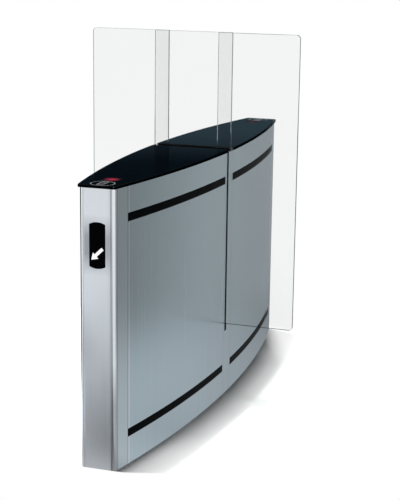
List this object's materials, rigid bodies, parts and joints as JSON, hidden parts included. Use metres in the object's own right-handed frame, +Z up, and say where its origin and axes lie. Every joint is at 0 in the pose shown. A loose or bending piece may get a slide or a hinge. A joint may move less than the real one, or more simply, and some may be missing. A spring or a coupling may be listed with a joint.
{
  "type": "waist-high turnstile, a speed gate with sliding glass leaves",
  "caption": "Lens-shaped steel cabinet with black glass top, end displays, sensor strips, a fixed glass screen and sliding glass leaves.",
  "frame": {"origin": "on the floor, under the centre of the cabinet", "axes": "+X across the lane, +Y along the cabinet, +Z up; the cabinet repeats itself after half a turn about Z"},
  "size_m": [0.866, 1.9, 1.45],
  "materials": {
    "brushed_steel": "fine vertical brushing on stainless steel sheet",
    "aluminium": "satin anodised",
    "black_glass": "polished, back-painted black",
    "black_lens": "gloss black window",
    "black_trim": "matt black anodised look",
    "clear_glass": "clear toughened glass with greenish polished edges",
    "dark_steel": "grey primer",
    "rail_steel": "ground steel"
  },
  "bodies": {
    "cabinet": {"base_plate": "dark_steel", "front_column": "aluminium", "rear_column": "aluminium", "front_display": "black_lens", "rear_display": "black_lens", "right_front_panel": "brushed_steel", "right_rear_panel": "brushed_steel", "left_front_panel": "brushed_steel", "left_rear_panel": "brushed_steel", "right_front_upper_window": "black_lens", "right_front_lower_window": "black_lens", "right_rear_upper_window": "black_lens", "right_rear_lower_window": "black_lens", "left_front_upper_window": "black_lens", "left_front_lower_window": "black_lens", "left_rear_upper_window": "black_lens", "left_rear_lower_window": "black_lens", "right_centre_post": "brushed_steel", "left_centre_post": "brushed_steel", "front_cross_wall": "dark_steel", "rear_cross_wall": "dark_steel", "front_top_glass": "black_glass", "rear_top_glass": "black_glass", "front_slot_trim": "black_trim", "rear_slot_trim": "black_trim", "screen_shoe": "dark_steel", "screen_glass": "clear_glass", "front_upper_rail": "rail_steel", "front_lower_rail": "rail_steel", "rear_upper_rail": "rail_steel", "rear_lower_rail": "rail_steel"},
    "right_leaf": {"right_leaf_glass": "clear_glass", "right_leaf_clamp": "aluminium", "right_leaf_upper_block": "rail_steel", "right_leaf_lower_block": "rail_steel"},
    "left_leaf": {"left_leaf_glass": "clear_glass", "left_leaf_clamp": "aluminium", "left_leaf_upper_block": "rail_steel", "left_leaf_lower_block": "rail_steel"}
  },
  "joints": [
    {"name": "right_leaf_slide", "type": "slide", "parent": "cabinet", "child": "right_leaf", "axis": [-1, 0, 0], "range_m": [0, 0.25]},
    {"name": "left_leaf_slide", "type": "slide", "parent": "cabinet", "child": "left_leaf", "axis": [1, 0, 0], "range_m": [0, 0.25]}
  ]
}
